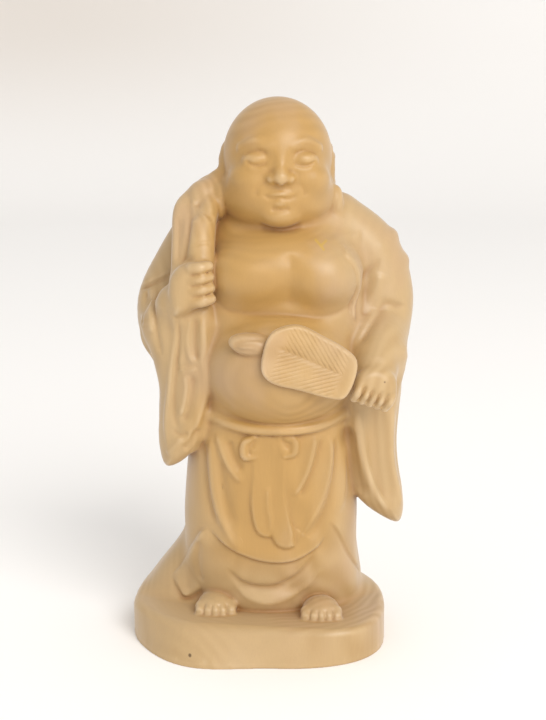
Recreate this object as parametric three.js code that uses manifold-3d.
// A standing budai figure, carved with its ground base from one block of pale boxwood.
// X runs to the viewer's right, -Y to the front and +Z up. The origin is on the flat underside.
// The figure is worked like a carving: rounded masses are joined on a grid, the undercuts and
// folds are cut into them, and the surface of the grid becomes one closed, faceted solid.

import * as THREE from "three";
import { SimplifyModifier } from "three/addons/modifiers/SimplifyModifier.js";
import { mergeVertices } from "three/addons/utils/BufferGeometryUtils.js";
import Module from "manifold-3d";

// Driving sizes, in millimetres
const BASE_WIDTH = 71;
const BASE_DEPTH = 57;
const BASE_THICKNESS = 10;
const BASE_EDGE_RADIUS = 2;
const FIGURE_HEIGHT = 140; // from the top of the base to the crown
const SAWN_OFF = 4; // wood below the underside, taken off last by one flat cut
const CELL = 0.7; // spacing of the carving grid
const FACETS = 9800; // triangles of the finished solid

// The free form is given in parts of the figure's height, counted up from the top of the base.
const PARTS_TALL = 140;
const PART = FIGURE_HEIGHT / PARTS_TALL;

const place = ([x, y, z]) => new THREE.Vector3(x * PART, y * PART, z * PART + BASE_THICKNESS);
const { degToRad, lerp, smoothstep } = THREE.MathUtils;

// The smaller of two distances, with the seam between them rounded over a width.
function blendedMin(a, b, width) {
  if (width <= 0) return Math.min(a, b);
  const share = Math.max(width - Math.abs(a - b), 0) / width;
  return Math.min(a, b) - (share * share * width) / 4;
}

// Forms: each has a box that holds it and a signed distance, negative inside the wood.

function ball({ at, radii, turn = [0, 0, 0] }) {
  const centre = place(at);
  const [rx, ry, rz] = radii.map((r) => r * PART);
  const angles = new THREE.Euler(...turn.map(degToRad));
  const e = new THREE.Matrix4().makeRotationFromEuler(angles).transpose().elements;
  const reach = 2 * Math.max(rx, ry, rz);
  return {
    box: new THREE.Box3().setFromCenterAndSize(centre, new THREE.Vector3(reach, reach, reach)),
    distance(x, y, z) {
      const [dx, dy, dz] = [x - centre.x, y - centre.y, z - centre.z];
      const u = (e[0] * dx + e[4] * dy + e[8] * dz) / rx;
      const v = (e[1] * dx + e[5] * dy + e[9] * dz) / ry;
      const w = (e[2] * dx + e[6] * dy + e[10] * dz) / rz;
      const k = Math.hypot(u, v, w);
      const slope = Math.hypot(u / rx, v / ry, w / rz);
      return slope > 1e-9 ? (k * (k - 1)) / slope : -Math.min(rx, ry, rz);
    },
  };
}

// A round strand along a smooth curve, its radius running through the given ones.
function strand(points, radii) {
  const steps = points.length > 2 ? 5 * (points.length - 1) : 1;
  const curve = new THREE.CatmullRomCurve3(points.map(place));
  const path = curve.getPoints(steps);
  const radiusAt = new THREE.SplineCurve(radii.map((r) => new THREE.Vector2(r * PART, 0)));
  const widths = path.map((_, i) => radiusAt.getPoint(i / steps).x);
  const box = new THREE.Box3().setFromPoints(path).expandByScalar(Math.max(...widths));
  return {
    box,
    distance(x, y, z) {
      let nearest = Infinity;
      for (let i = 0; i < steps; i++) {
        const a = path[i];
        const b = path[i + 1];
        const [bx, by, bz] = [b.x - a.x, b.y - a.y, b.z - a.z];
        const [px, py, pz] = [x - a.x, y - a.y, z - a.z];
        const along = (px * bx + py * by + pz * bz) / (bx * bx + by * by + bz * bz);
        const t = Math.min(1, Math.max(0, along));
        const gap = Math.hypot(px - bx * t, py - by * t, pz - bz * t);
        nearest = Math.min(nearest, gap - lerp(widths[i], widths[i + 1], t));
      }
      return nearest;
    },
  };
}

// A body with level sections: rounded rectangles whose sides run smoothly from one to the next.
function stack(sections, roundness = 2.5) {
  const placed = sections.map(({ z, left, right, front, back }) => ({
    z: z * PART + BASE_THICKNESS,
    sides: [left, right, front, back].map((s) => s * PART),
  }));
  const [low, high] = [placed[0].z, placed[placed.length - 1].z];
  const sidesAt = (z) => {
    const last = placed.length - 2;
    const i = Math.min(last, Math.max(0, placed.findIndex((s) => s.z > z) - 1));
    const upper = z >= high ? last : i;
    const [a, b] = [placed[upper], placed[upper + 1]];
    const t = Math.min(1, Math.max(0, (z - a.z) / (b.z - a.z)));
    const before = placed[Math.max(0, upper - 1)];
    const after = placed[Math.min(placed.length - 1, upper + 2)];
    return a.sides.map((side, k) => {
      const leave = ((b.sides[k] - before.sides[k]) / (b.z - before.z)) * (b.z - a.z);
      const arrive = ((after.sides[k] - side) / (after.z - a.z)) * (b.z - a.z);
      const t2 = t * t;
      const t3 = t2 * t;
      return (
        (2 * t3 - 3 * t2 + 1) * side +
        (t3 - 2 * t2 + t) * leave +
        (3 * t2 - 2 * t3) * b.sides[k] +
        (t3 - t2) * arrive
      );
    });
  };
  const widest = (k, pick) => pick(...placed.map((s) => s.sides[k]));
  const box = new THREE.Box3(
    new THREE.Vector3(widest(0, Math.min), widest(2, Math.min), low),
    new THREE.Vector3(widest(1, Math.max), widest(3, Math.max), high),
  );
  const known = new Map();
  return {
    box,
    distance(x, y, z) {
      if (!known.has(z)) known.set(z, sidesAt(z));
      const [left, right, front, back] = known.get(z);
      const [dx, dy] = [x - (left + right) / 2, y - (front + back) / 2];
      const [w, d] = [(right - left) / 2, (back - front) / 2];
      const share =
        (Math.abs(dx / w) ** roundness + Math.abs(dy / d) ** roundness) ** (1 / roundness);
      const out = share > 1e-6 ? (Math.hypot(dx, dy) * (share - 1)) / share : -Math.min(w, d);
      return Math.max(out, low - z, z - high);
    },
  };
}

function outlineDistance(outline, x, y) {
  let nearest = Infinity;
  let inside = false;
  for (let i = 0, j = outline.length - 1; i < outline.length; j = i++) {
    const a = outline[i];
    const b = outline[j];
    const [ex, ey] = [b.x - a.x, b.y - a.y];
    const [px, py] = [x - a.x, y - a.y];
    const t = Math.min(1, Math.max(0, (px * ex + py * ey) / (ex * ex + ey * ey)));
    nearest = Math.min(nearest, Math.hypot(px - ex * t, py - ey * t));
    if (a.y > y !== b.y > y && x < a.x + (ex * (y - a.y)) / ey) inside = !inside;
  }
  return inside ? -nearest : nearest;
}

const smoothOutline = (points, steps) =>
  new THREE.CatmullRomCurve3(points, true)
    .getPoints(steps)
    .slice(0, -1)
    .map((p) => new THREE.Vector2(p.x, p.y));

// A plate with rounded edges. Its outline is drawn as seen from the front. It may lean, and a
// taper makes it thinner towards its lower end.
function plate({ outline, front, thickness, round, lean = [0, 0], taper = 0, smooth = 1 }) {
  const placed = outline.map(([x, z]) => new THREE.Vector3(x * PART, z * PART + BASE_THICKNESS));
  const edge = smooth > 1 ? smoothOutline(placed, placed.length * smooth) : placed;
  const rim = round * PART;
  const box2 = new THREE.Box2().setFromPoints(edge);
  const middle = box2.getCenter(new THREE.Vector2());
  const half = box2.getSize(new THREE.Vector2()).multiplyScalar(0.5);
  const shift = Math.abs(lean[0]) * half.x + (Math.abs(lean[1]) + taper) * half.y;
  const [near, far] = [front * PART, (front + thickness) * PART];
  return {
    box: new THREE.Box3(
      new THREE.Vector3(box2.min.x, near - shift, box2.min.y),
      new THREE.Vector3(box2.max.x, far + shift, box2.max.y),
    ),
    distance(x, y, z) {
      const level = y - lean[0] * (x - middle.x) - lean[1] * (z - middle.y);
      const a = outlineDistance(edge, x, z) + rim;
      const b = Math.max(near - level, level - far - taper * (z - middle.y)) + rim;
      return Math.min(Math.max(a, b), 0) + Math.hypot(Math.max(a, 0), Math.max(b, 0)) - rim;
    },
  };
}

const SMOOTHINGS = 5; // times that the depth of a stroke's line is evened out

// How far round each form the grid is kept true, so that the next seam runs evenly
const SPARE = 4;

// The grid of signed distances that the figure is carved on.
class Clay {
  constructor(box, cell) {
    this.cell = cell;
    this.low = box.min.clone();
    this.count = box.getSize(new THREE.Vector3()).divideScalar(cell).ceil().addScalar(1);
    const { x, y, z } = this.count;
    this.stride = { x: 1, y: x, z: x * y };
    this.field = new Float32Array(x * y * z).fill(3 * SPARE * PART);
  }

  // The grid's index ranges that hold a box, with a margin.
  range(box, margin) {
    return AXES.map((axis) => {
      const first = Math.floor((box.min[axis] - margin - this.low[axis]) / this.cell);
      const last = Math.ceil((box.max[axis] + margin - this.low[axis]) / this.cell);
      return [Math.max(0, first), Math.min(this.count[axis] - 1, last)];
    });
  }

  // Replaces each value in a box by change(value, x, y, z).
  work(box, margin, change) {
    const [[x0, x1], [y0, y1], [z0, z1]] = this.range(box, margin);
    const { low, cell, field, stride } = this;
    for (let k = z0; k <= z1; k++)
      for (let j = y0; j <= y1; j++)
        for (let i = x0; i <= x1; i++) {
          const at = i + j * stride.y + k * stride.z;
          field[at] = change(field[at], low.x + i * cell, low.y + j * cell, low.z + k * cell);
        }
  }

  add(form, blend = 0) {
    const width = blend * PART;
    const change = (value, x, y, z) => blendedMin(value, form.distance(x, y, z), width);
    this.work(form.box, width + SPARE * PART, change);
  }

  cut(form, blend = 0) {
    const width = blend * PART;
    const change = (value, x, y, z) => -blendedMin(-value, form.distance(x, y, z), width);
    this.work(form.box, width + SPARE * PART, change);
  }

  // The first wood met from a side, at a point drawn as seen from that side.
  surface(point, side) {
    const { across, up, along, from } = SIDES[side];
    const index = {};
    const steady = (value, axis) => {
      const cells = Math.round((value - this.low[axis]) / this.cell);
      return Math.min(this.count[axis] - 1, Math.max(0, cells));
    };
    index[across] = steady(point.x, across);
    index[up] = steady(point.y, up);
    const last = this.count[along] - 1;
    for (let step = 0; step <= last; step++) {
      index[along] = from === "low" ? step : last - step;
      const at = index.x + index.y * this.stride.y + index.z * this.stride.z;
      if (this.field[at] < 0) {
        const out = from === "low" ? this.field[at] : -this.field[at];
        const found = new THREE.Vector3();
        found[across] = point.x;
        found[up] = point.y;
        found[along] = this.low[along] + index[along] * this.cell - out;
        return found;
      }
    }
    return null;
  }

  // Draws a gouge stroke along a line on the surface. It fades out at both ends.
  // depth cuts in and a negative one raises. lift raises the side that lies to the line's
  // left, over a reach, so that one layer of cloth lies on the next.
  stroke({ line, side = "front", width, depth, lift = 0, reach = 0 }) {
    const { across, up, along } = SIDES[side];
    const drawn = new THREE.SplineCurve(
      line.map(([u, v]) => new THREE.Vector2(u * PART, v * PART + BASE_THICKNESS)),
    );
    const steps = Math.max(4, Math.ceil(drawn.getLength() / (1.5 * this.cell)));
    const path = drawn
      .getSpacedPoints(steps)
      .map((p) => this.surface(p, side))
      .filter(Boolean);
    if (path.length < 3) return;
    for (let pass = 0; pass < SMOOTHINGS; pass++) {
      const depths = path.map((p) => p[along]);
      for (let i = 1; i < path.length - 1; i++)
        path[i][along] = (depths[i - 1] + 2 * depths[i] + depths[i + 1]) / 4;
    }
    const far = Math.max(2.5 * width, 2 * reach) * PART;
    const box = new THREE.Box3().setFromPoints(path);
    const gap = new THREE.Vector3();
    const run = new THREE.Vector3();
    this.work(box, far, (value, x, y, z) => {
      if (Math.abs(value) > far) return value;
      let nearest = Infinity;
      let share = 0;
      let beside = 0;
      for (let i = 0; i < path.length - 1; i++) {
        run.subVectors(path[i + 1], path[i]);
        gap.set(x, y, z).sub(path[i]);
        const t = Math.min(1, Math.max(0, gap.dot(run) / run.lengthSq()));
        gap.addScaledVector(run, -t);
        const length = gap.length();
        if (length < nearest) {
          nearest = length;
          share = (i + t) / (path.length - 1);
          beside = (gap[up] * run[across] - gap[across] * run[up]) / run.length();
        }
      }
      const fade = smoothstep(share, 0, 0.18) * smoothstep(1 - share, 0, 0.18);
      const inside = Math.exp(-((nearest / (width * PART)) ** 1.5));
      const around = lift ? Math.exp(-((nearest / (reach * PART)) ** 2)) : 0;
      const raised = smoothstep(beside, -width * PART, width * PART) * around;
      return value + (depth * inside - lift * raised) * fade * PART;
    });
  }
}

// How each side of the block is seen: the axes that run across, up and into the view, and the
// end of the last one that the eye is at.
const AXES = ["x", "y", "z"];
const SIDES = {
  front: { across: "x", up: "z", along: "y", from: "low" },
  back: { across: "x", up: "z", along: "y", from: "high" },
  left: { across: "y", up: "z", along: "x", from: "low" },
  right: { across: "y", up: "z", along: "x", from: "high" },
};

// The base is a rough slab of ground. Its outline underneath and its outline on top differ, so
// its sides slope. Both are given as shares of half its width and half its depth.
const BASE_MIDDLE = [-4, -0.5, 0]; // in millimetres from the figure's axis
const BASE_UNDERSIDE = [
  [-1, 0.05],
  [-0.93, -0.38],
  [-0.7, -0.82],
  [-0.45, -1],
  [0.03, -1],
  [0.36, -1],
  [0.6, -0.93],
  [0.8, -0.78],
  [0.95, -0.5],
  [1, 0.05],
  [0.95, 0.5],
  [0.6, 0.9],
  [0, 1],
  [-0.55, 0.93],
  [-0.9, 0.6],
];
const BASE_TOP = [
  [-1, -0.05],
  [-0.9, -0.34],
  [-0.76, -0.55],
  [-0.56, -0.74],
  [-0.3, -0.8],
  [-0.1, -0.84],
  [0.1, -0.875],
  [0.33, -0.91],
  [0.56, -0.94],
  [0.74, -0.88],
  [0.88, -0.66],
  [1, -0.1],
  [0.94, 0.5],
  [0.6, 0.88],
  [0, 0.98],
  [-0.55, 0.9],
  [-0.9, 0.55],
];

function base() {
  const half = new THREE.Vector3(BASE_WIDTH / 2, BASE_DEPTH / 2, 0);
  const middle = new THREE.Vector3(...BASE_MIDDLE);
  const edgeOf = (corners) => {
    const placed = corners.map(([x, y]) => new THREE.Vector3(x, y).multiply(half).add(middle));
    return smoothOutline(placed, 4 * corners.length);
  };
  const [under, upper] = [edgeOf(BASE_UNDERSIDE), edgeOf(BASE_TOP)];
  const rim = BASE_EDGE_RADIUS;
  const box2 = new THREE.Box2().setFromPoints([...under, ...upper]);
  const known = new Map();
  return {
    box: new THREE.Box3(
      new THREE.Vector3(box2.min.x, box2.min.y, -SAWN_OFF),
      new THREE.Vector3(box2.max.x, box2.max.y, BASE_THICKNESS),
    ),
    distance(x, y, z) {
      const spot = `${x},${y}`;
      if (!known.has(spot))
        known.set(spot, [outlineDistance(under, x, y), outlineDistance(upper, x, y)]);
      const [below, above] = known.get(spot);
      const a = lerp(below, above, Math.max(0, z / BASE_THICKNESS)) + rim;
      const b = Math.max(-SAWN_OFF - z, z - BASE_THICKNESS) + rim;
      return Math.min(Math.max(a, b), 0) + Math.hypot(Math.max(a, 0), Math.max(b, 0)) - rim;
    },
  };
}

// The ground that rises round the hem, and the robe from the hem to the shoulders.
const MOUND = stack([
  { z: -2, left: -37.5, right: 29, front: -6, back: 26.5 },
  { z: 2, left: -36, right: 25.8, front: -6, back: 25.5 },
  { z: 7, left: -32.8, right: 24.8, front: -6, back: 22.5 },
  { z: 15, left: -27, right: 23, front: -6, back: 19.4 },
  { z: 26, left: -21, right: 19.5, front: -6, back: 16 },
]);
const ROBE = stack([
  { z: -2, left: -22, right: 24, front: -9.5, back: 20 },
  { z: 4, left: -23.5, right: 24.5, front: -12, back: 20 },
  { z: 12, left: -24.5, right: 23.8, front: -15, back: 19.5 },
  { z: 20, left: -24.7, right: 23.5, front: -17, back: 19 },
  { z: 28, left: -24.7, right: 23.5, front: -18.3, back: 18.5 },
  { z: 46, left: -23.2, right: 22.5, front: -20.8, back: 18.3 },
  { z: 58, left: -21.8, right: 23, front: -20.8, back: 18.3 },
  { z: 78, left: -23, right: 25, front: -20, back: 18.5 },
  { z: 90, left: -23, right: 25, front: -17, back: 18 },
  { z: 99, left: -21.5, right: 24.5, front: -13.5, back: 16.5 },
  { z: 105, left: -18, right: 22.5, front: -10.5, back: 14.5 },
  { z: 110, left: -14, right: 18.5, front: -8, back: 11.5 },
  { z: 114, left: -9, right: 12, front: -5, back: 8 },
]);
const BELLY = ball({ at: [1.5, -8.5, 69], radii: [21, 21.5, 17.5] });
const BREASTS = [
  ball({ at: [-6.3, -9.6, 93.4], radii: [12.6, 11.6, 9.4] }),
  ball({ at: [12.4, -9.4, 93.2], radii: [10.8, 11.4, 9.5] }),
];
const CHEST = ball({ at: [3, -7.8, 94.8], radii: [19.4, 12.8, 11.2] });
const HEM = ball({ at: [-1.2, -5.3, 3.5], radii: [14, 8.9, 9] });

// The arms under the sleeves, from the shoulder over the elbow to the wrist.
const RIGHT_ARM = strand(
  [
    [-18, 3, 105],
    [-23.5, 3, 95],
    [-28, 2, 84],
    [-28, -1, 77],
    [-25, -13, 86],
  ],
  [8, 8.6, 9.2, 8, 6],
);
const LEFT_ARM = strand(
  [
    [16.6, 3, 105.6],
    [25.4, 3, 98],
    [29, 2, 87],
    [28.8, -1, 79],
    [27.6, -9, 74],
    [26.8, -16, 69.5],
  ],
  [9, 9.3, 9.4, 8.8, 7.8, 6.2],
);

// Folds of cloth over the left shoulder
const SHOULDER_FOLDS = [
  [32.3, 102.5],
  [35.4, 95.8],
].map(([x, z]) =>
  strand(
    [
      [x - 3.6, -3.5, z - 2.6],
      [x, 3, z],
      [x - 3.6, 9.5, z - 2.6],
    ],
    [0.8, 1.6, 0.8],
  ),
);

// The wide ends of the sleeves, which hang from the forearms.
const RIGHT_SLEEVE = plate({
  outline: [
    [-35.5, 82],
    [-32.4, 71],
    [-30.6, 62],
    [-31, 48],
    [-29, 41.5],
    [-24.8, 43],
    [-19.5, 49.5],
    [-17.3, 60],
    [-16.2, 86],
    [-24, 88],
  ],
  front: -17,
  thickness: 19,
  round: 5,
  lean: [-0.3, 0],
  taper: 0.3,
  smooth: 4,
});
const LEFT_SLEEVE = plate({
  outline: [
    [35.5, 74],
    [34, 60],
    [33.2, 47],
    [34.4, 37],
    [36.2, 29],
    [35, 23.6],
    [29.5, 26],
    [22.5, 33],
    [19, 50],
    [20, 66],
    [26, 74],
  ],
  front: -14,
  thickness: 17,
  round: 5,
  lean: [0.2, -0.12],
  taper: 0.3,
  smooth: 4,
});

// The rolled collar runs round the back of the neck.
const COLLAR = strand(
  [
    [-16, -6, 108],
    [-14.5, 2, 111.5],
    [-8, 10, 112],
    [2, 12.5, 111.5],
    [11, 10, 111.5],
    [16, 4, 110],
  ],
  [1, 1.6, 1.9, 2, 1.9, 1.2],
);

// The sack hangs on the back. Its neck runs over the right shoulder into the fist.
const SACK = [
  ball({ at: [-6, 17, 84], radii: [17, 11, 19] }),
  strand(
    [
      [-18.5, -3, 113.5],
      [-16, 8, 112],
      [-11, 13, 102],
    ],
    [4.6, 6, 9],
  ),
  ball({ at: [-14.4, 1, 115], radii: [4, 6, 6] }),
];
const SACK_NECK = [
  strand(
    [
      [-20, -12, 88],
      [-20, -10.5, 99],
      [-19, -6, 109],
    ],
    [4.4, 4, 4],
  ),
  strand(
    [
      [-24.6, -14.6, 92],
      [-24.6, -11.5, 103],
      [-24.2, -7, 110.8],
      [-20.8, 0, 114],
    ],
    [2.2, 2.1, 2.1, 2.4],
  ),
  strand(
    [
      [-21.6, -15.4, 92],
      [-21.8, -12.8, 103],
      [-21, -7.5, 111],
      [-18, 0, 115],
    ],
    [2.3, 2.1, 2.3, 2.6],
  ),
  strand(
    [
      [-18.4, -16.6, 92],
      [-18.4, -14, 102],
      [-17.7, -9, 109.5],
      [-15.8, -1, 114],
    ],
    [3.3, 3.2, 3.1, 3.2],
  ),
];

// Each hand is a palm with fingers laid side by side along a row, bent at their joints.
const spread = (count, from, to) => {
  const [first, last] = [new THREE.Vector3(...from), new THREE.Vector3(...to)];
  return Array.from({ length: count }, (_, i) => first.clone().lerp(last, i / (count - 1)));
};
const fingers = ({ roots: [from, to], joints, count, radius }) =>
  spread(count, from, to).map((root) => {
    const bends = joints.map((joint) => root.clone().add(new THREE.Vector3(...joint)));
    const line = [root, ...bends].map((bend) => bend.toArray());
    return strand(line, [radius, radius, 0.85 * radius]);
  });
const FIST_PALM = plate({
  outline: [
    [-27, 93],
    [-24.5, 96.8],
    [-18.5, 98.4],
    [-16.8, 97],
    [-16.8, 88.5],
    [-21.4, 85.4],
    [-26, 84],
  ],
  front: -21.4,
  thickness: 9,
  round: 3,
  lean: [-0.06, 0.04],
  smooth: 3,
});
const FIST_FINGERS = fingers({
  roots: [
    [-21, -20, 96.4],
    [-20.4, -20, 87.9],
  ],
  joints: [
    [2.2, -0.6, 0.3],
    [4.2, 0.4, 0.7],
  ],
  count: 4,
  radius: 1.65,
});
const PALM = plate({
  outline: [
    [21.2, 66],
    [21.8, 69],
    [24.5, 71],
    [28.4, 71],
    [31.8, 68.6],
    [32.4, 64.6],
    [30.6, 62.4],
    [25.6, 63.4],
  ],
  front: -25,
  thickness: 9,
  round: 2.6,
  lean: [0.16, 0.12],
  smooth: 3,
});
const FINGERS = fingers({
  roots: [
    [22.8, -24.2, 66.4],
    [31, -22.6, 63.4],
  ],
  joints: [
    [-0.7, -0.7, -1.5],
    [-1.7, 0.2, -3.3],
  ],
  count: 5,
  radius: 1.3,
});

// The fan is a thin leaf that stands on a smaller boss of wood. A tuft lies behind its far end,
// and the left hand is on its handle.
const FAN_OUTLINE = [
  [-0.6, 81.2],
  [3, 83],
  [7, 83.1],
  [12.8, 80.2],
  [18.4, 77],
  [21.6, 73.8],
  [20.8, 68.2],
  [18.2, 64.2],
  [15.4, 64.2],
  [7, 66.6],
  [-0.4, 68.8],
  [-2.9, 71.5],
  [-2.6, 76.5],
];
const FAN_MIDDLE = [9, 74];
const FAN_LEAN = [0.16, 0.16];
const BOSS_SHARE = 0.74;
const FAN = plate({
  outline: FAN_OUTLINE,
  front: -30.2,
  thickness: 2.6,
  round: 0.9,
  lean: FAN_LEAN,
  smooth: 4,
});
const BOSS = plate({
  outline: FAN_OUTLINE.map((corner) => corner.map((c, k) => lerp(FAN_MIDDLE[k], c, BOSS_SHARE))),
  front: -28.4,
  thickness: 12,
  round: 1.5,
  lean: FAN_LEAN,
  smooth: 3,
});
const TUFT = ball({ at: [-5, -25.3, 77.4], radii: [6.6, 3.8, 3.1], turn: [0, 10, 0] });

const BELT = strand(
  [
    [-20, -11.5, 58.5],
    [-13.3, -17.8, 55.5],
    [-7, -20.9, 54.3],
    [0, -21.9, 54],
    [7, -21.3, 54.1],
    [14, -18.2, 55],
    [20.5, -12.5, 57.5],
  ],
  [1.4, 1.5, 1.5, 1.5, 1.5, 1.5, 1.4],
);

// The bow under the belt: two loops and two hanging ends.
const LOOPS = [
  strand(
    [
      [-5, -20.8, 51.6],
      [-7.4, -20.4, 50],
      [-7.2, -20.2, 46.6],
      [-4.8, -20.6, 46.4],
    ],
    [1, 1.3, 1.5, 0.9],
  ),
  strand(
    [
      [2, -20.8, 51.6],
      [5.4, -20.4, 51],
      [5.4, -20.2, 47.6],
      [3.2, -20.6, 46.6],
    ],
    [1, 1.4, 1.5, 0.9],
  ),
  ball({ at: [-5, -20, 48.8], radii: [2, 1.6, 2.6] }),
  ball({ at: [3, -20, 49], radii: [2, 1.6, 2.6] }),
];
const TAILS = [
  plate({
    outline: [
      [-4.6, 52],
      [0.2, 52],
      [-0.2, 36],
      [-0.6, 23.5],
      [-4, 24.4],
      [-6, 31],
      [-5.8, 40],
    ],
    front: -20.2,
    thickness: 5,
    round: 0.9,
    lean: [0, -0.1],
    smooth: 3,
  }),
  plate({
    outline: [
      [-0.6, 52],
      [3, 52],
      [3.4, 36],
      [5.2, 21],
      [1.8, 20.8],
      [-0.4, 24],
      [-0.8, 38],
    ],
    front: -20,
    thickness: 5,
    round: 0.9,
    lean: [0, -0.1],
    smooth: 3,
  }),
];

// The bare feet come out from under the hem. Each is given by the middle of its instep.
const TOES = 5;
const foot = (x, y) => [
  ball({ at: [x, y, 0.9], radii: [5.2, 5.9, 3.9] }),
  ...spread(TOES, [x - 4.3, y - 3.2, 1.1], [x + 4.3, y - 3, 1.1]).map((toe, i) => {
    const reach = 1.5 * Math.sin((Math.PI * (i + 1)) / (TOES + 1));
    return strand(
      [
        [toe.x, toe.y + 0.6, toe.z + 0.5],
        [toe.x, toe.y - 0.6 - reach, toe.z - 0.2],
      ],
      [1.35, 1.2],
    );
  }),
];
const FEET = [...foot(-15.8, -10.1), ...foot(13.2, -14.2)];

// The head, a shaven egg on a short neck, with full cheeks and long ears. It looks a little up.
// Places on it are given from its middle, before it is turned.
const HEAD_AT = new THREE.Vector3(1.2, 0, 123);
const HEAD_TURN = [-5, 0, 3];
const headTurn = new THREE.Euler(...HEAD_TURN.map(degToRad));
const onHead = (x, y, z) => new THREE.Vector3(x, y, z).applyEuler(headTurn).add(HEAD_AT).toArray();
const onFace = (x, z) => {
  const [across, , up] = onHead(x, -15, z);
  return [across, up];
};
const lump = (x, y, z, radii) => ball({ at: onHead(x, y, z), radii, turn: HEAD_TURN });
const onBothSides = (make) => [-1, 1].map(make);

const SKULL = lump(0, 0, 1.2, [14.6, 16, 15.8]);
const JAW = lump(0, -1.4, -9, [15.7, 13.6, 10.8]);
const NAPE = ball({ at: [1.2, 4.5, 110], radii: [12, 9.5, 10] });
const EARS = onBothSides((side) => [
  lump(side * 14, 1.5, -2.4, [2, 3.8, 7]),
  lump(side * 15.6, -3.6, -11, [1.9, 2.6, 4.4]),
]).flat();
const SOCKETS = onBothSides((side) => lump(side * 6.2, -18, 0.6, [4.8, 3.6, 2.8]));
const EYES = onBothSides((side) => lump(side * 6, -12.5, 0, [3.7, 2.7, 2.2]));
const BROWS = onBothSides((side) =>
  strand(
    [
      onHead(side * 3, -14.4, 3.4),
      onHead(side * 6.6, -13.5, 4.8),
      onHead(side * 10.4, -10.9, 3.2),
    ],
    [0.6, 0.8, 0.5],
  ),
);
const NOSE = [
  strand([onHead(0, -13.8, 2.4), onHead(0, -14.9, -1.4), onHead(0, -15.9, -4.6)], [1.2, 1.5, 2.1]),
  ...onBothSides((side) => lump(side * 2.4, -14.5, -5, [1.5, 1.9, 1.4])),
];
const APPLES = onBothSides((side) => lump(side * 7.8, -9.6, -5, [5.2, 5, 4.2]));
const lip = (halfWidth, corner, middle, z, radius) =>
  strand(
    [
      onHead(-halfWidth, corner, z + 0.6),
      onHead(0, middle, z),
      onHead(halfWidth, corner, z + 0.6),
    ],
    [0.5, radius, 0.5],
  );
const LIPS = [lip(4.8, -12.2, -14.2, -9.3, 1.3), lip(3.4, -12.4, -13.7, -11.2, 1.3)];
const CHIN = lump(0, -10.8, -14.6, [4.8, 3.8, 3]);

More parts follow.
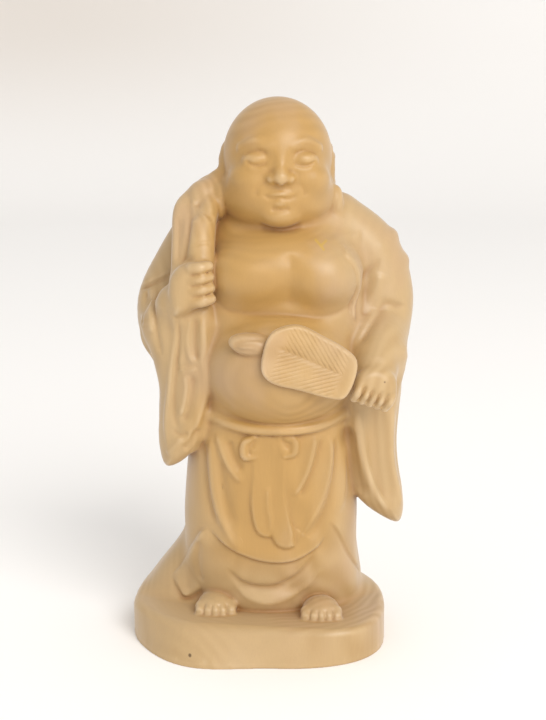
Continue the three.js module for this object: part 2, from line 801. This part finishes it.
// The folds of the cloth and the lines of the body, as gouge strokes drawn as seen from one side.
const STROKES = [
  // hem of the upper skirt, and the robe's edges beside it
  {
    width: 0.7, depth: 0.7, lift: 1.5, reach: 6,
    line: [
      [-18, 25], [-12, 19.5], [-7, 17], [-1.5, 15.5], [4.5, 15.5], [9, 17.5], [13, 20.5],
      [14.5, 24.5],
    ],
  },
  { width: 0.7, depth: 0.5, lift: 0.5, reach: 3, line: [[14.5, 27.5], [17, 24], [25.5, 4.5]] },
  {
    width: 0.8, depth: 0.8, lift: 1.3, reach: 4,
    line: [[-17.5, 25.5], [-20, 23], [-26, 10], [-29.5, 6]],
  },
  {
    width: 0.8, depth: 0.8, lift: 0.8, reach: 3,
    line: [[-28.5, 6], [-27, 3], [-25, 1], [-22, 2], [-19.5, 5]],
  },
  // folds of the skirt
  { width: 0.9, depth: -1.4, line: [[-16.5, 51.5], [-16, 36], [-14.5, 29], [-8.5, 18.5]] },
  { width: 1.2, depth: 1.1, line: [[-19, 51], [-17.5, 32.5], [-15.5, 25]] },
  { width: 1.2, depth: 0.7, line: [[-14, 46], [-13.5, 38], [-12, 31], [-9.5, 25]] },
  { width: 0.8, depth: -1.3, line: [[-15, 52.5], [-11.5, 43], [-8, 38.5]] },
  { width: 0.9, depth: 0.9, line: [[-12, 51], [-10.5, 46.5], [-8, 42]] },
  { width: 0.9, depth: -1.4, line: [[11.5, 52.5], [9, 42], [5.5, 34.5]] },
  { width: 1, depth: 1.1, line: [[13, 52], [12, 45], [7, 34]] },
  {
    width: 0.9, depth: -1.3,
    line: [[15, 52.5], [15.5, 45.5], [14.5, 39], [12.5, 32.5], [6.5, 21]],
  },
  { width: 1, depth: 1.2, line: [[17, 51.5], [17, 42], [15.5, 33.5], [10.5, 22]] },
  { width: 1.4, depth: -0.8, line: [[19.5, 50], [19.5, 40], [17.5, 28]] },
  // folds of the under-robe
  {
    width: 0.9, depth: 1, lift: 0.5, reach: 3,
    line: [[-13, 13.5], [-9, 9], [-4.5, 7.5], [0, 7.5], [4.5, 9.5], [8.5, 13], [12, 18.5]],
  },
  {
    width: 0.9, depth: -0.9,
    line: [[-11.5, 8.5], [-7, 4.5], [-1.5, 3], [4.5, 4.5], [9.5, 8], [14, 14]],
  },
  { width: 1.3, depth: 0.8, line: [[-20.5, 21], [-21, 12], [-20, 6]] },
  // left sleeve
  { width: 1.6, depth: 2.2, line: [[20, 54], [21, 44.5], [22.5, 37.5], [25, 32]] },
  { width: 1.3, depth: -1.9, line: [[22.5, 59], [23.5, 49.5], [25, 42.5], [28, 34.5], [32, 27.5]] },
  { width: 2.4, depth: 2.6, line: [[28, 62], [28.5, 41.5], [30.5, 35], [33.5, 28.5]] },
  { width: 1, depth: -1.6, line: [[32, 59], [32.5, 41.5], [35.5, 28]] },
  // right sleeve: the cuff's rim, the folds that fall from the wrist, and the turned-in pocket
  {
    width: 0.8, depth: -1.3,
    line: [[-27.5, 92], [-26.5, 88], [-25.5, 78.5], [-28.5, 55], [-28, 46]],
  },
  { width: 0.8, depth: 1.1, line: [[-25, 83.5], [-25, 76], [-26.5, 61], [-26, 54.5], [-24, 51]] },
  { width: 0.7, depth: -0.8, line: [[-23.5, 84], [-24, 76], [-24.5, 69.5]] },
  { width: 0.7, depth: -1, line: [[-21.5, 84], [-22.5, 78], [-22, 73.5], [-20.5, 70.5]] },
  { width: 0.7, depth: 1, line: [[-20, 84], [-20.5, 77.5], [-20, 71.5]] },
  { width: 0.8, depth: -1.2, line: [[-18.5, 84], [-18, 62.5], [-20.5, 54.5], [-22.5, 51.5]] },
  { width: 0.7, depth: -0.9, line: [[-25, 69.5], [-22.5, 69], [-20, 70]] },
  { width: 0.8, depth: -0.9, line: [[-23.5, 69], [-23, 65], [-24.5, 56]] },
  { width: 0.9, depth: 1.5, line: [[-21, 68.5], [-21.5, 62.5], [-24, 54.5]] },
  { width: 0.7, depth: 0.8, line: [[-27, 53], [-25, 51.5], [-22.5, 52]] },
  { width: 0.8, depth: -0.9, line: [[-24, 51], [-26, 48.5], [-28.5, 45.5]] },
  { width: 0.8, depth: 0.9, line: [[-19.5, 53.5], [-21.5, 50], [-24, 47]] },
  { width: 0.9, depth: -0.8, line: [[-17.5, 60], [-18.5, 52.5], [-20.5, 47.5], [-23, 45]] },
  // bend of the right arm
  { width: 0.8, depth: 1, lift: 0.7, reach: 3, line: [[-37, 87.5], [-29, 92], [-26, 95.5]] },
  { width: 0.8, depth: 0.9, line: [[-34, 88.5], [-35, 85], [-34.5, 80]] },
  { width: 0.8, depth: -0.8, line: [[-33, 89.5], [-32.5, 84.5], [-32, 78]] },
  { width: 0.8, depth: 1, line: [[-31.5, 90.5], [-31, 79.5], [-29.5, 72]] },
  // bend of the left arm
  { width: 0.8, depth: 1.1, lift: -0.7, reach: 3, line: [[36.5, 84], [30, 85.5], [22, 75]] },
  { width: 0.8, depth: 0.8, line: [[29.5, 97.5], [24, 92], [22.5, 87], [22, 80]] },
  { width: 1.6, depth: -0.8, line: [[29, 94], [27, 88], [24.5, 82.5]] },
  { width: 1.6, depth: -0.5, line: [[15, 102], [18.5, 103.5], [24, 103]] },
  // open edge of the robe on the chest
  {
    width: 0.8, depth: 0.4, lift: 0.8, reach: 3,
    line: [[16.5, 103.5], [19, 99.5], [21.5, 95.5], [22, 90.5], [20.5, 84.5], [22, 79]],
  },
  // lower edge of the chest
  {
    width: 0.8, depth: 0.6,
    line: [[-15.5, 89.5], [-13, 85.5], [-7, 84.5], [2.5, 84.5], [13, 83.5], [19, 85], [21.5, 88]],
  },
  { width: 2, depth: 0.8, line: [[4.5, 101], [4.5, 91], [4.5, 85]] },
  // neck of the sack
  { width: 0.7, depth: 1.2, line: [[-22.5, 113.5], [-22.5, 107], [-23, 97.5]] },
  { width: 0.7, depth: 0.6, line: [[-24.5, 109], [-24.5, 104], [-24.5, 96]] },
  { width: 0.7, depth: 0.5, line: [[-21.5, 113], [-19.5, 111], [-15, 109]] },
  { width: 0.7, depth: 0.35, line: [[-21.5, 101.5], [-19, 103], [-16, 102.5]] },
  // the back of the robe, under the sack
  { side: "back", width: 1.6, depth: -1, line: [[-17, 60], [-18, 40], [-20, 22], [-24, 8]] },
  { side: "back", width: 1.6, depth: 1.1, line: [[-11, 58], [-12.5, 22], [-15, 7]] },
  { side: "back", width: 1.6, depth: -0.9, line: [[-4, 60], [-3.5, 40], [-5, 6]] },
  { side: "back", width: 1.6, depth: 1.1, line: [[4, 62], [5, 20], [6, 6]] },
  { side: "back", width: 1.6, depth: -1, line: [[11, 62], [13, 22], [16, 8]] },
  { side: "back", width: 1.4, depth: 0.9, line: [[17.5, 60], [18, 40], [19.5, 22], [22, 9]] },
  // gathers where the sack narrows
  { side: "back", width: 1.1, depth: 0.9, line: [[-17, 108], [-14, 99], [-13, 90]] },
  { side: "back", width: 1.1, depth: 0.9, line: [[-13, 108], [-9, 100], [-6, 92]] },
  // folds that hang down the sides of the sleeves
  { side: "left", width: 1.3, depth: 1.1, line: [[-8, 78], [-8.5, 62], [-8, 44]] },
  { side: "left", width: 1.3, depth: -0.9, line: [[-3.5, 80], [-3, 62], [-3.5, 42]] },
  { side: "left", width: 1.3, depth: 1, line: [[1.5, 78], [2, 62], [1, 44]] },
  { side: "right", width: 1.3, depth: -0.9, line: [[-8, 66], [-7.5, 50], [-5, 30]] },
  { side: "right", width: 1.3, depth: 1.1, line: [[-3.5, 70], [-3, 50], [-1, 28]] },
  { side: "right", width: 1.3, depth: -0.8, line: [[1.5, 68], [2, 50], [3, 32]] },
  // lids and mouth
  { width: 0.5, depth: 0.5, line: [onFace(-9.4, -0.2), onFace(-6, -1.5), onFace(-2.9, -0.5)] },
  { width: 0.5, depth: 0.5, line: [onFace(2.9, -0.5), onFace(6, -1.5), onFace(9.4, -0.2)] },
  {
    width: 0.5, depth: 0.8,
    line: [onFace(-5, -8.9), onFace(-2.4, -10.1), onFace(2.4, -10.1), onFace(5, -8.9)],
  },
  // rib of the fan, and lines of the tuft
  { width: 0.6, depth: 0.5, line: [[0.5, 78], [10, 74], [18, 70]] },
  { width: 0.5, depth: 0.6, line: [[-10.5, 78], [-6.5, 79], [-2, 79]] },
  { width: 0.5, depth: 0.6, line: [[-10.5, 76.5], [-6.5, 77], [-2, 77]] },
];

// What is joined, in this order, and how far each seam is blended
const JOINS = [
  { forms: [base()], blend: 0 },
  { forms: [MOUND], blend: 4 },
  { forms: [ROBE], blend: 2.5 },
  { forms: [HEM], blend: 1 },
  { forms: [BELLY], blend: 1.5 },
  { forms: [CHEST], blend: 4 },
  { forms: BREASTS, blend: 2.5 },
  { forms: [RIGHT_ARM, LEFT_ARM], blend: 2.5 },
  { forms: SHOULDER_FOLDS, blend: 2 },
  { forms: SACK, blend: 3 },
  { forms: [NAPE], blend: 3 },
  { forms: [SKULL, JAW, CHIN], blend: 2 },
  { forms: EARS, blend: 1.2 },
  { forms: SOCKETS, blend: 1.5, hollow: true },
  { forms: EYES, blend: 0.8 },
  { forms: BROWS, blend: 1.6 },
  { forms: APPLES, blend: 3 },
  { forms: NOSE, blend: 1.2 },
  { forms: LIPS, blend: 0.9 },
  { forms: [RIGHT_SLEEVE, LEFT_SLEEVE], blend: 2 },
  { forms: [COLLAR], blend: 1 },
  { forms: [BELT], blend: 1 },
  { forms: [...TAILS, ...LOOPS], blend: 0.4 },
  { forms: SACK_NECK, blend: 1 },
  { forms: [TUFT, BOSS, FAN], blend: 0.4 },
  { forms: FEET, blend: 1.3 },
];
const HANDS = [
  { forms: [FIST_PALM, PALM], blend: 1.6 },
  { forms: [...FIST_FINGERS, ...FINGERS], blend: 0.3 },
];

// The block of wood holds every form, with room for the grid's last cells.
const block = new THREE.Box3();
[...JOINS, ...HANDS].forEach(({ forms }) => forms.forEach((form) => block.union(form.box)));
block.expandByScalar(4 * CELL);

const clay = new Clay(block, CELL);
const join = ({ forms, blend, hollow = false }) =>
  forms.forEach((form) => (hollow ? clay.cut(form, blend) : clay.add(form, blend)));
JOINS.forEach(join);
STROKES.forEach((cut) => clay.stroke(cut));
HANDS.forEach(join);

// The corners of one cell of the grid, in steps along its three axes.
const CORNERS = Array.from({ length: 8 }, (_, c) => [c & 1, (c >> 1) & 1, (c >> 2) & 1]);

// Fills the places where wood touches wood only across an edge or a corner of a cell, and
// keeps every value a little away from nothing, so that the skin is closed and never pinched.
function fillPinches({ field, count, stride, cell }) {
  const least = cell / 8;
  for (let at = 0; at < field.length; at++)
    field[at] = field[at] < 0 ? Math.min(field[at], -least) : Math.max(field[at], least);
  const offsets = CORNERS.map(([x, y, z]) => x + y * stride.y + z * stride.z);
  // Four corners of each face in order round it, and the four long diagonals of the cell
  const faces = [
    [0, 1, 3, 2],
    [4, 5, 7, 6],
    [0, 1, 5, 4],
    [2, 3, 7, 6],
    [0, 2, 6, 4],
    [1, 3, 7, 5],
  ];
  const diagonals = [
    [0, 7],
    [1, 6],
    [2, 5],
    [3, 4],
  ];
  let changed = true;
  while (changed) {
    changed = false;
    for (let k = 0; k < count.z - 1; k++)
      for (let j = 0; j < count.y - 1; j++)
        for (let i = 0; i < count.x - 1; i++) {
          const at = i + j * stride.y + k * stride.z;
          const wood = offsets.map((o) => field[at + o] < 0);
          const full = wood.filter(Boolean).length;
          if (full < 2 || full > 6) continue;
          const fill = (corner) => {
            field[at + offsets[corner]] = -2 * least;
            wood[corner] = true;
            changed = true;
          };
          for (const [a, b, c, d] of faces)
            if (wood[a] === wood[c] && wood[b] === wood[d] && wood[a] !== wood[b])
              fill(wood[a] ? b : a);
          for (const [a, b] of diagonals) {
            const others = wood.filter((_, c) => c !== a && c !== b);
            if (wood[a] && wood[b] && !others.some(Boolean)) fill(a ^ 1);
            if (!wood[a] && !wood[b] && others.every(Boolean)) fill(a);
          }
        }
  }
}

// The closed skin of the clay: one vertex for each cell that the surface passes through.
function skin(clay) {
  const { field, count, stride, cell, low } = clay;
  const edges = [];
  CORNERS.forEach((a, i) =>
    CORNERS.forEach((b, j) => {
      const apart = Math.abs(a[0] - b[0]) + Math.abs(a[1] - b[1]) + Math.abs(a[2] - b[2]);
      if (i < j && apart === 1) edges.push([i, j]);
    }),
  );
  const offsets = CORNERS.map(([x, y, z]) => x + y * stride.y + z * stride.z);
  const vertexOf = new Int32Array(field.length).fill(-1);
  const positions = [];
  for (let k = 0; k < count.z - 1; k++)
    for (let j = 0; j < count.y - 1; j++)
      for (let i = 0; i < count.x - 1; i++) {
        const at = i + j * stride.y + k * stride.z;
        const values = offsets.map((o) => field[at + o]);
        const inside = values.filter((v) => v < 0).length;
        if (inside === 0 || inside === 8) continue;
        const middle = new THREE.Vector3();
        let crossings = 0;
        for (const [a, b] of edges) {
          if (values[a] < 0 === values[b] < 0) continue;
          const t = values[a] / (values[a] - values[b]);
          middle.add(new THREE.Vector3(...CORNERS[a]).lerp(new THREE.Vector3(...CORNERS[b]), t));
          crossings++;
        }
        middle.divideScalar(crossings).add(new THREE.Vector3(i, j, k));
        vertexOf[at] = positions.length / 3;
        positions.push(...middle.multiplyScalar(cell).add(low).toArray());
      }
  const triangles = [];
  for (let at = 0; at < field.length; at++)
    for (const [along, p, q] of ["xyz", "yzx", "zxy"]) {
      const next = at + stride[along];
      if (next >= field.length || field[at] < 0 === field[next] < 0) continue;
      const ring = [at, at - stride[p], at - stride[p] - stride[q], at - stride[q]];
      const quad = ring.map((c) => vertexOf[c]);
      if (quad.some((v) => v === undefined || v < 0)) continue;
      const [a, b, c, d] = field[at] < 0 ? quad : quad.reverse();
      triangles.push(a, b, c, a, c, d);
    }
  const geometry = new THREE.BufferGeometry();
  geometry.setAttribute("position", new THREE.Float32BufferAttribute(positions, 3));
  geometry.setIndex(triangles);
  return geometry;
}

fillPinches(clay);
const fine = skin(clay);

// Fewer, larger facets wherever the surface is smooth.
const spare = fine.getAttribute("position").count - FACETS / 2;
const faceted = await new SimplifyModifier().modify(fine, Math.max(0, spare));

// The underside is cut off flat.
const wasm = await Module();
wasm.setup();

const solidOf = (geometry) =>
  new wasm.Manifold(
    new wasm.Mesh({
      numProp: 3,
      vertProperties: new Float32Array(geometry.getAttribute("position").array),
      triVerts: new Uint32Array(geometry.index.array),
    }),
  );

function cutFlat(geometry) {
  const size = block.getSize(new THREE.Vector3());
  const ground = new THREE.BoxGeometry(2 * size.x, 2 * size.y, size.z);
  ground.translate(0, 0, -size.z / 2);
  ground.deleteAttribute("normal");
  ground.deleteAttribute("uv");
  const cut = solidOf(geometry).subtract(solidOf(mergeVertices(ground))).getMesh();
  const result = new THREE.BufferGeometry();
  result.setAttribute("position", new THREE.BufferAttribute(cut.vertProperties, 3));
  result.setIndex(new THREE.BufferAttribute(cut.triVerts, 1));
  return result;
}

const boxwood = new THREE.MeshStandardMaterial({ color: 0xc9a15f, roughness: 0.45 });
const figure = new THREE.Mesh(cutFlat(faceted), boxwood);
figure.name = "budai_figure";

const part = new THREE.Group();
part.name = "budai";
part.add(figure);
export default part;
